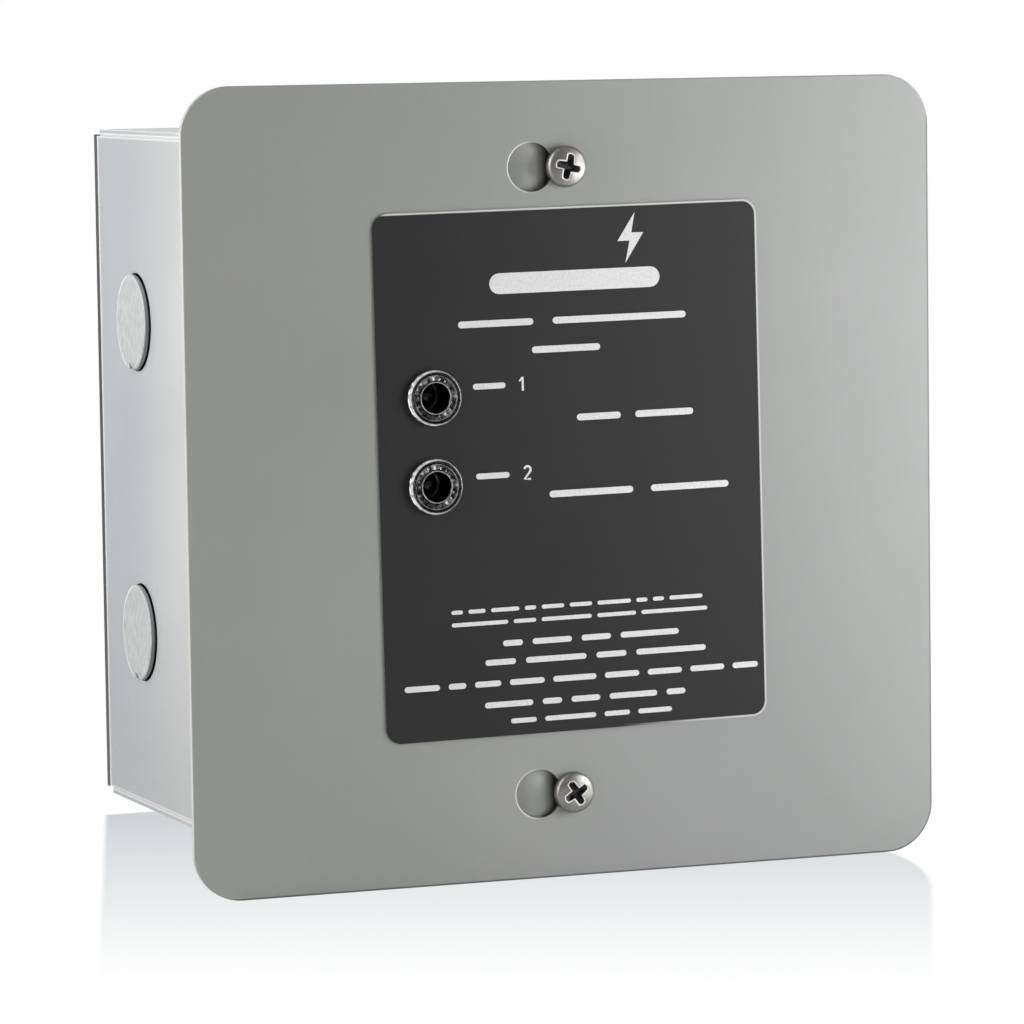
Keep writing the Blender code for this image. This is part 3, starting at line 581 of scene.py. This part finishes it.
def build_knockouts(material):
    for joint in frame["record"]["behaviour"]["joints"]:
        node = joint["child"]
        if not node.startswith("knockout_"):
            continue
        turn = KNOCKOUT_TURNS[node.split("_")[1]].to_matrix()
        piece = make("slug" + node[len("knockout"):], knockout_shape(), material, joint["pos_m"], turn)
        soften(piece, RIM, 3, 40)
        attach(piece, node)
        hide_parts(node)


# Cover screws

HEAD = 0.0046
HEAD_HEIGHT = 0.0027
CROWN = 0.0012
HEAD_EDGE = 0.00010
DOME_TILT = 22
SHANK = 0.00235
SCREW_END = 0.0127
RECESS_REACH = 0.0029
RECESS_HALF = 0.0007
RECESS_DEPTH = 0.0019
ARM_POINT = 0.0003
CHAMFER = 0.00036
RECESS_TURN = {"top": math.radians(15), "bottom": math.radians(-30)}


def cross_outline(grow):
    """The four-armed mouth of the recess, widened all round by the growth."""
    reach = RECESS_REACH + grow
    half = RECESS_HALF + grow
    shoulder = reach - ARM_POINT
    arm = ((shoulder, -half), (reach, 0), (shoulder, half), (half + ARM_POINT, half))
    points = []
    for cosine, sine in ((1, 0), (0, 1), (-1, 0), (0, -1)):
        points += [(x * cosine - z * sine, x * sine + z * cosine) for x, z in arm]
    return points


def dome_radius():
    tilt = math.radians(DOME_TILT)
    return (HEAD - CROWN * (1 - math.sin(tilt))) / math.sin(tilt)


def dome_drop(radius):
    """How far the dome has fallen back from its top."""
    dome = dome_radius()
    return dome - math.sqrt(dome * dome - radius * radius)


def recess():
    """Tapered walls up to a chamfer, which follows the dome of the head."""
    shape = bmesh.new()
    rings = []
    for grow, scale, level, domed in (
        (0, 0.5, RECESS_DEPTH, False),
        (0, 1, 0.00016, True),
        (CHAMFER, 1, -0.00012, True),
        (CHAMFER, 1, -0.0004, False),
    ):
        ring = []
        for x, z in cross_outline(grow):
            drop = dome_drop(math.hypot(x, z)) if domed else 0
            ring.append(shape.verts.new((x * scale, drop - HEAD_HEIGHT + level, z * scale)))
        rings.append(ring)
    count = len(rings[0])
    for row, (below, above) in enumerate(zip(rings, rings[1:])):
        for index in range(count):
            following = (index + 1) % count
            face = shape.faces.new((below[index], below[following], above[following], above[index]))
            # Painted highlight on the chamfer with the second material; painted shade inside the recess
            # with the first.
            face.material_index = 1 if row == 1 else 0
    shape.faces.new(rings[0])
    shape.faces.new(rings[-1])
    return shape


def thread_profile():
    """Shank below the head, with the 10-32 thread as a row of V rings."""
    pitch = 0.00079
    core = SHANK - 0.0004
    points = []
    y = 0.0012
    while y + pitch < SCREW_END - 0.0010:
        points += [(core, y), (SHANK, y + pitch / 2)]
        y += pitch
    return points + [(core, y)]


def head_profile():
    """A pan head: a shallow dome that rolls over into its wall."""
    tilt = math.radians(DOME_TILT)
    dome = dome_radius()
    steps = 10
    points = []
    for step in range(steps):
        angle = tilt * step / steps
        points.append((dome * math.sin(angle), dome * (1 - math.cos(angle)) - HEAD_HEIGHT))
    level = dome * (1 - math.cos(tilt)) - HEAD_HEIGHT + CROWN * math.cos(tilt)
    return points + arc((HEAD - CROWN, level), CROWN, DOME_TILT - 90, 0, 10)


def build_screws(nickel, shade, edge_highlight):
    for name in ("top", "bottom"):
        node = f"cover_screw_{name}"
        low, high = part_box(node)
        seat = high.y - SCREW_END
        at = Vector(((low.x + high.x) / 2, seat, (low.z + high.z) / 2))
        profile = head_profile() + [(HEAD, -0.0002), (HEAD - 0.0002, 0), (SHANK, 0), *thread_profile()]
        profile += [(SHANK * 0.6, SCREW_END), (0, SCREW_END)]
        piece = make(f"pan_screw_{name}", solid_lathe(profile, 96), nickel, at)
        piece.data.materials.append(shade)
        piece.data.materials.append(edge_highlight)
        cutter = make(f"recess_{name}", recess(), shade, at, Euler((0, RECESS_TURN[name], 0)).to_matrix())
        cutter.data.materials.append(edge_highlight)
        cutter.hide_render = True
        cross = piece.modifiers.new("recess", "BOOLEAN")
        cross.operation = "DIFFERENCE"
        cross.solver = "EXACT"
        cross.object = cutter
        cross.material_mode = "TRANSFER"
        applied(piece, cutter)
        soften(piece, HEAD_EDGE, 2, 45)
        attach(piece, node)
        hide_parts(node)


def applied(piece, *helpers):
    """Applies the piece's modifiers and removes the helpers."""
    graph = bpy.context.evaluated_depsgraph_get()
    mesh = bpy.data.meshes.new_from_object(piece.evaluated_get(graph))
    piece.modifiers.clear()
    piece.data = mesh
    for helper in helpers:
        bpy.data.objects.remove(helper, do_unlink=True)


# Indicator lenses

FACETS = 18
STEPS_PER_FACET = 6
BORE = 0.0033
BARREL = 0.0043
FLANGE = 0.00615


def lens_shape(seat, face, tail):
    """A clear moulding: a rounded flange, a groove, a faceted dish, a raised ring and a hollow barrel."""
    dish = face + 0.00080
    profile = [(BORE, tail), (BARREL, tail), (BARREL, seat)]
    profile += [(FLANGE - 0.00015, seat), (FLANGE, seat - 0.00015)]
    profile += arc((FLANGE - 0.0006, face + 0.0006), 0.0006, 0, -90, 8)
    profile += [(0.00540, face + 0.00004), (0.00530, face + 0.00035)]
    profile += [(0.00520, face + 0.00045), (0.00508, face + 0.00012), (0.00498, face + 0.00012)]
    facets_from = len(profile)
    profile += [(0.00485, dish - 0.0002), (0.00455, dish)]
    profile += [(0.0042, dish - 0.00005), (0.0039, dish - 0.00025)]
    facets_to = len(profile)
    profile += arc((0.00355, face + 0.0003), 0.00020, -10, -170, 6)
    profile += [(BORE, face + 0.0006)]

    def wobble(index, step, radius, y):
        if facets_from <= index < facets_to:
            phase = (step % STEPS_PER_FACET) / STEPS_PER_FACET
            ridge = abs(phase - 0.5) * 2
            lift = 0.00034 if index < facets_to - 1 else 0.00014
            return radius, y - lift * ridge
        return radius, y

    return lathe(profile, FACETS * STEPS_PER_FACET, wobble)


def build_lenses(material):
    for line in ("line_1", "line_2"):
        node = f"lens_{line}"
        low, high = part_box(node)
        at = ((low.x + high.x) / 2, 0, (low.z + high.z) / 2)
        shape = lens_shape(LABEL_FRONT - 0.0001, low.y, high.y)
        piece = make(f"indicator_{line}", shape, material, at, sharp=28)
        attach(piece, "cover")
        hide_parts(node)


# Paint that bridges the seams between the wrap and the side panels, coloured lighter than the enamel as a
# painted highlight

SEAM = 0.00024


def build_seams(material):
    """Four beads, one along each side panel's top and bottom edge."""
    beads = []
    for side in (-1, 1):
        for level in (-1, 1):
            x = side * (WRAP_SIDE - 0.0006)
            z = level * (PANEL_TOP + WRAP_TOP - SHEET) / 2
            half = SEAM / 2
            outline = [(x - 0.00055, z - half), (x + 0.00045, z - half), (x + 0.00055, z - half / 2)]
            outline += [(x + 0.00055, z + half / 2), (x + 0.00045, z + half), (x - 0.00055, z + half)]
            beads.append(outlined(outline, PANEL[0].y + 0.0016, PANEL_REAR - 0.0035))
    piece = make("seam_paint", merge(beads), material)
    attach(piece, "box")


# Print on the nameplate. Each row is a height, a thickness, a start, an end and its words' lengths.

INK = 0.00003
TITLE_ROWS = (
    (0.0446, 0.0046, -0.0178, 0.0229, (1,)),
    (0.0359, 0.0015, -0.0254, -0.0076, (5,)),
    (0.0359, 0.0015, -0.0030, 0.0290, (10,)),
    (0.0296, 0.0015, -0.0081, 0.0082, (5,)),
)
RATING_ROWS = (
    (0.0221, 0.0013, -0.0223, -0.0146, (4,)),
    (0.0141, 0.0015, 0.0022, 0.0303, (3, 4)),
    (0.0022, 0.0013, -0.0221, -0.0142, (4,)),
    (-0.0027, 0.0015, -0.0048, 0.0153, (6,)),
    (-0.0027, 0.0015, 0.0196, 0.0385, (5,)),
)
NOTE_ROWS = (
    (-0.0277, 0.0009, -0.0288, 0.0315, (2, 3, 5, 2, 4, 4, 6, 2, 2, 6)),
    (-0.0305, 0.0009, -0.0288, 0.0326, (10, 4, 9, 7, 12)),
    (-0.0353, 0.0013, -0.0168, 0.0255, (2, 4, 3, 6)),
    (-0.0394, 0.0013, -0.0211, 0.0320, (3, 6, 3, 7)),
    (-0.0441, 0.0013, -0.0403, 0.0447, (4, 2, 3, 4, 5, 4, 4, 4, 3)),
    (-0.0489, 0.0013, -0.0215, 0.0268, (5, 2, 3, 5, 2)),
    (-0.0528, 0.0011, -0.0154, 0.0234, (3, 6, 3, 4)),
)
BOLT_AT = (0.0161, 0.0535)
BOLT_HEIGHT = 0.0112
ONE_AT = (-0.0105, 0.0222)
TWO_AT = (-0.0099, 0.0023)
DIGIT_HEIGHT = 0.0031


def bar(low, high, height, thickness):
    """A bar with round ends."""
    radius = thickness / 2
    points = arc((high - radius, height), radius, -90, 90, 8)
    points += arc((low + radius, height), radius, 90, 270, 8)
    return points


def merge(shapes):
    """One bmesh of several."""
    gathered = bmesh.new()
    for shape in shapes:
        copies = {vertex: gathered.verts.new(vertex.co) for vertex in shape.verts}
        for face in shape.faces:
            gathered.faces.new([copies[vertex] for vertex in face.verts])
        shape.free()
    return gathered


def words(low, high, lengths):
    """Where each word starts and ends, with one letter's width between words."""
    letters = sum(lengths) + len(lengths) - 1
    step = (high - low) / letters
    spans = []
    start = low
    for length in lengths:
        spans.append((start, start + length * step))
        start += (length + 1) * step
    return spans


def bars(rows):
    """One bar for each word."""
    outlines = []
    for height, thickness, start, end, lengths in rows:
        outlines += [bar(low, high, height, thickness) for low, high in words(start, end, lengths)]
    return outlines


def bolt(x, z, size):
    """A plain lightning flash."""
    outline = ((0.10, 0.5), (-0.28, -0.06), (-0.02, -0.06), (-0.12, -0.5), (0.28, 0.10), (0.02, 0.10))
    return [(x + size * a, z + size * b) for a, b in outline]


def digit_one(x, z, height):
    stroke = height * 0.16
    return [
        (x - stroke / 2, z - height / 2),
        (x + stroke / 2, z - height / 2),
        (x + stroke / 2, z + height / 2),
        (x - stroke / 2, z + height / 2),
        (x - height * 0.30, z + height * 0.24),
        (x - height * 0.20, z + height * 0.16),
        (x - stroke / 2, z + height * 0.30),
    ]


def digit_two(x, z, height):
    """The figure's centre line, widened into a strip."""
    radius = height * 0.24
    line = arc((x, z + height / 2 - radius), radius, 165, -35, 10)
    line += [(x - radius, z - height / 2 + height * 0.08), (x + radius, z - height / 2 + height * 0.08)]
    half = height * 0.08
    left = []
    right = []
    for index, (px, pz) in enumerate(line):
        before = line[max(index - 1, 0)]
        after = line[min(index + 1, len(line) - 1)]
        dx = after[0] - before[0]
        dz = after[1] - before[1]
        size = math.hypot(dx, dz)
        left.append((px - half * dz / size, pz + half * dx / size))
        right.append((px + half * dz / size, pz - half * dx / size))
    return left + right[::-1]


def build_print(material):
    centre = Vector((LABEL_AT.x, LABEL_FRONT, LABEL_AT.z))
    turn = Euler((0, LABEL_TILT, 0)).to_matrix()
    digits = [digit_one(*ONE_AT, DIGIT_HEIGHT), digit_two(*TWO_AT, DIGIT_HEIGHT)]
    groups = {
        "print_title": bars(TITLE_ROWS),
        "print_rating": bars(RATING_ROWS),
        "print_notes": bars(NOTE_ROWS),
        "print_symbol": [bolt(*BOLT_AT, BOLT_HEIGHT)],
        "print_digits": digits,
    }
    for name, outlines in groups.items():
        shapes = []
        for points in outlines:
            moved = [(x - centre.x, z - centre.z) for x, z in points]
            shapes.append(outlined(moved, -INK, -0.000001))
        piece = make(name, merge(shapes), material, centre, turn)
        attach(piece, "cover")


# Scene


def dress():
    """Gives each CAD node its material and builds the pieces that replace or join them."""
    enamel = box_enamel()
    nickel = bright_steel("nickel", (0.37, 0.358, 0.346), 0.38, turned=True)
    zinc = bright_steel("zinc_plate", (0.56, 0.58, 0.60), 0.30)
    # Black moulding, also used as painted shade inside the screw recesses.
    black = plastic("black_moulding_and_shade", (0.012, 0.012, 0.013), (0.022, 0.022, 0.022))
    tan = plastic("tan_epoxy", (0.50, 0.33, 0.16), (0.58, 0.42, 0.24), 0.4, 900.0, coat=0.3)
    green = plastic("green_zinc", (0.03, 0.22, 0.08), (0.06, 0.32, 0.12), 0.3, 1200.0, coat=0.4)
    # Light grey, used as a painted highlight on the screw recesses' chamfers.
    edge_highlight = plastic("nickel_edge_highlight", (0.62, 0.61, 0.59), (0.85, 0.84, 0.82), 0.35, 1500.0)
    looks = {
        "box_wrap": enamel,
        "side_panel": enamel,
        "ground_screw": green,
        "cover_plate": cover_enamel(),
        "nameplate": label_film(),
        "lens_ring": black,
        "lamp_line": plastic("lamp_epoxy", (0.003, 0.004, 0.004), (0.006, 0.008, 0.007), 0.22, 300.0),
        "insulator_sheet": plastic("fibre_sheet", (0.03, 0.03, 0.034), (0.05, 0.05, 0.055), 0.75, 900.0),
        "circuit_board": board_lacquer(),
        "standoff": zinc,
        "nut": zinc,
        "module_hood": black,
        "terminal_block": black,
        "terminal_screw": zinc,
        "varistor": plastic("blue_epoxy", (0.02, 0.07, 0.27), (0.04, 0.12, 0.40), 0.35, 700.0, coat=0.3),
        "thermal_cutoff": tan,
        "lamp_resistor": tan,
        "fuse_line": plastic("fuse_ceramic", (0.70, 0.67, 0.60), (0.78, 0.75, 0.70), 0.5, 1500.0),
    }
    for node in frame["nodes"]:
        piece = bpy.data.objects[node]
        for prefix, material in looks.items():
            if node.startswith(prefix):
                for place in piece.material_slots:
                    place.material = material
    build_knockouts(slug_enamel())
    build_screws(nickel, black, edge_highlight)
    build_lenses(clear_acrylic())
    # The seam beads are a little lighter than the enamel, as a painted highlight.
    build_seams(plastic("seam_enamel_and_highlight", (0.42, 0.42, 0.41), (0.48, 0.48, 0.47), 0.4, 900.0))
    build_print(print_ink())


def build_camera():
    camera = bpy.data.objects.new("camera", bpy.data.cameras.new("camera"))
    bpy.context.scene.collection.objects.link(camera)
    forward = Vector((math.sin(YAW) * math.cos(PITCH), math.cos(YAW) * math.cos(PITCH), -math.sin(PITCH)))
    level = Vector((math.cos(YAW), -math.sin(YAW), 0))
    upright = level.cross(forward)
    right = math.cos(ROLL) * level + math.sin(ROLL) * upright
    up = math.cos(ROLL) * upright - math.sin(ROLL) * level
    rotation = Matrix((right, up, -forward)).transposed()
    camera.matrix_world = Matrix.Translation(CAMERA_AT) @ rotation.to_4x4()
    camera.data.lens = LENS
    camera.data.sensor_width = SENSOR
    camera.data.clip_start = 0.05
    camera.data.clip_end = 50.0
    bpy.context.scene.camera = camera


def area_light(name, at, aim, size, power):
    light = bpy.data.lights.new(name, "AREA")
    light.shape = "RECTANGLE"
    light.size, light.size_y = size
    light.energy = power
    made = bpy.data.objects.new(name, light)
    bpy.context.scene.collection.objects.link(made)
    made.location = at
    made.rotation_euler = (Vector(aim) - Vector(at)).to_track_quat("-Z", "Y").to_euler()


# Each light's name, place, aim, size and power
LIGHTS = (
    ("right_soft", (0.34, -0.36, -0.08), (0.06, -0.10, -0.03), (0.22, 0.60), 3.20),
    ("right_near", (0.26, -0.22, -0.12), (0.06, -0.10, -0.08), (0.12, 0.60), 0.46),
    ("left_soft", (-0.50, -0.10, 0.19), (-0.08, -0.06, 0.0), (0.30, 0.50), 2.85),
    ("left_near", (-0.25, -0.095, 0.20), (-0.08, -0.09, 0.02), (0.06, 0.24), 0.26),
)


def build_studio():
    build_world()
    for light in LIGHTS:
        area_light(*light)
    shape = bmesh.new()
    bmesh.ops.create_grid(shape, x_segments=1, y_segments=1, size=12.0)
    floor = make("floor", shape, floor_finish(), (0, 0, CAD_BOX[0].z - 0.0001))


# How bright the room is, in front of the object and behind it: as light, and in reflections
LIT_LEVELS = (0.12, 0.45)
MIRRORED_LEVELS = (0.20, 1.0)


def build_world():
    """A white sweep behind the object and a dim room in front of it. Reflections see the sweep whiter."""
    world = bpy.data.worlds.new("studio")
    bpy.context.scene.world = world
    world.use_nodes = True
    tree = world.node_tree
    background = tree.nodes["Background"]
    background.inputs["Color"].default_value = (1.0, 1.0, 1.0, 1.0)
    where = tree.nodes.new("ShaderNodeTexCoord")
    parts = tree.nodes.new("ShaderNodeSeparateXYZ")
    tree.links.new(where.outputs["Generated"], parts.inputs[0])
    path = tree.nodes.new("ShaderNodeLightPath")
    levels = []
    for front, back in (LIT_LEVELS, MIRRORED_LEVELS):
        ramp = tree.nodes.new("ShaderNodeMapRange")
        ramp.interpolation_type = "SMOOTHSTEP"
        tree.links.new(parts.outputs["Y"], ramp.inputs["Value"])
        for name, value in (("From Min", -0.5), ("From Max", 0.4), ("To Min", front), ("To Max", back)):
            ramp.inputs[name].default_value = value
        levels.append(ramp.outputs[0])
    pick = tree.nodes.new("ShaderNodeMix")
    tree.links.new(path.outputs["Is Glossy Ray"], pick.inputs[0])
    tree.links.new(levels[0], pick.inputs[2])
    tree.links.new(levels[1], pick.inputs[3])
    level = tree.nodes.new("ShaderNodeMath")
    level.operation = "MAXIMUM"
    tree.links.new(pick.outputs[0], level.inputs[0])
    tree.links.new(path.outputs["Is Camera Ray"], level.inputs[1])
    tree.links.new(level.outputs[0], background.inputs["Strength"])


# The painted grey shade and reflection on the floor. It fades out along FADE_WAY, and its sides are places
# along SIDE_WAY. The sides close in by the leans, and the start runs across at the slant.
FADE_WAY = (-0.440, -0.902)
SIDE_WAY = (0.934, -0.358)
SHADE_START = 0.0045
SHADE_LENGTH = 0.2207
SHADE_DEPTH = 0.35
SHADE_LEFT = -0.0747
SHADE_RIGHT = 0.1244
SHADE_SLANT = 0.5
LEFT_LEAN = 0.069
RIGHT_LEAN = 0.078
SHADE_CORNER = 0.0095
CORNER_LENGTH = 0.057
SHADE_LEAD = 0.004
LEAD_LIMIT = 0.010
SOFT = 0.0006


def floor_finish():
    """A white sweep with a soft painted grey shade and reflection, which starts by the box's rear and fades
    out forwards.

    The shade leaves out the floor to the right of the box, behind the cover.
    """
    n = Nodes("floor_white")
    tree = n.tree
    tree.nodes.remove(n.shader)
    x = n.axis("X")
    y = n.axis("Y")
    reach = n.math("SUBTRACT", n.toward(*FADE_WAY), SHADE_START)
    across = n.toward(*SIDE_WAY)
    inward = n.math("SUBTRACT", across, n.math("MULTIPLY", reach, LEFT_LEAN))
    left = n.span(inward, SHADE_LEFT - SOFT, SHADE_LEFT + SOFT)
    round_off = n.math("POWER", n.span(y, COVER_FRONT, COVER_FRONT - CORNER_LENGTH, 1.0, 0.0), 2.5)
    outward = n.math("ADD", across, n.math("MULTIPLY", reach, RIGHT_LEAN))
    outward = n.math("ADD", outward, n.math("MULTIPLY", round_off, SHADE_CORNER))
    right = n.span(outward, SHADE_RIGHT + SOFT, SHADE_RIGHT - SOFT)
    leftward = n.span(x, WRAP_SIDE + 0.0011, WRAP_SIDE + 0.0001)
    before = n.span(y, COVER_FRONT + 0.0005, COVER_FRONT - 0.0005)
    lead = n.math("ADD", n.math("MULTIPLY", across, SHADE_SLANT), SHADE_LEAD - SHADE_LEFT * SHADE_SLANT)
    begin = n.span(n.math("ADD", reach, n.math("MINIMUM", lead, LEAD_LIMIT)), 0.0, 0.0015)
    inside = n.both(left, right, n.math("MAXIMUM", leftward, before), begin)
    cloud = n.span(n.noise(25.0), 0.3, 0.7, -0.004, 0.004)
    depth = n.math("ADD", n.span(reach, 0.0, SHADE_LENGTH, SHADE_DEPTH, 0.0), cloud, clamp=True)
    shade = n.both(inside, depth)
    glow = n.add("ShaderNodeEmission")
    tint = n.mix(n.math("MULTIPLY", shade, 2.5, clamp=True), grey(1.0), (0.94, 1.0, 1.03))
    n.feed(glow.inputs["Color"], tint)
    n.feed(glow.inputs["Strength"], n.math("SUBTRACT", 1.0, shade))
    matt = n.add("ShaderNodeBsdfDiffuse")
    matt.inputs["Color"].default_value = (0.80, 0.80, 0.80, 1.0)
    path = n.add("ShaderNodeLightPath")
    both = n.add("ShaderNodeMixShader")
    n.link(path.outputs["Is Camera Ray"], both.inputs[0])
    n.link(matt.outputs[0], both.inputs[1])
    n.link(glow.outputs[0], both.inputs[2])
    n.link(both.outputs[0], tree.nodes["Material Output"].inputs["Surface"])
    return n.material


build_camera()
dress()
build_studio()
view = bpy.context.scene.view_settings
view.view_transform = "Standard"
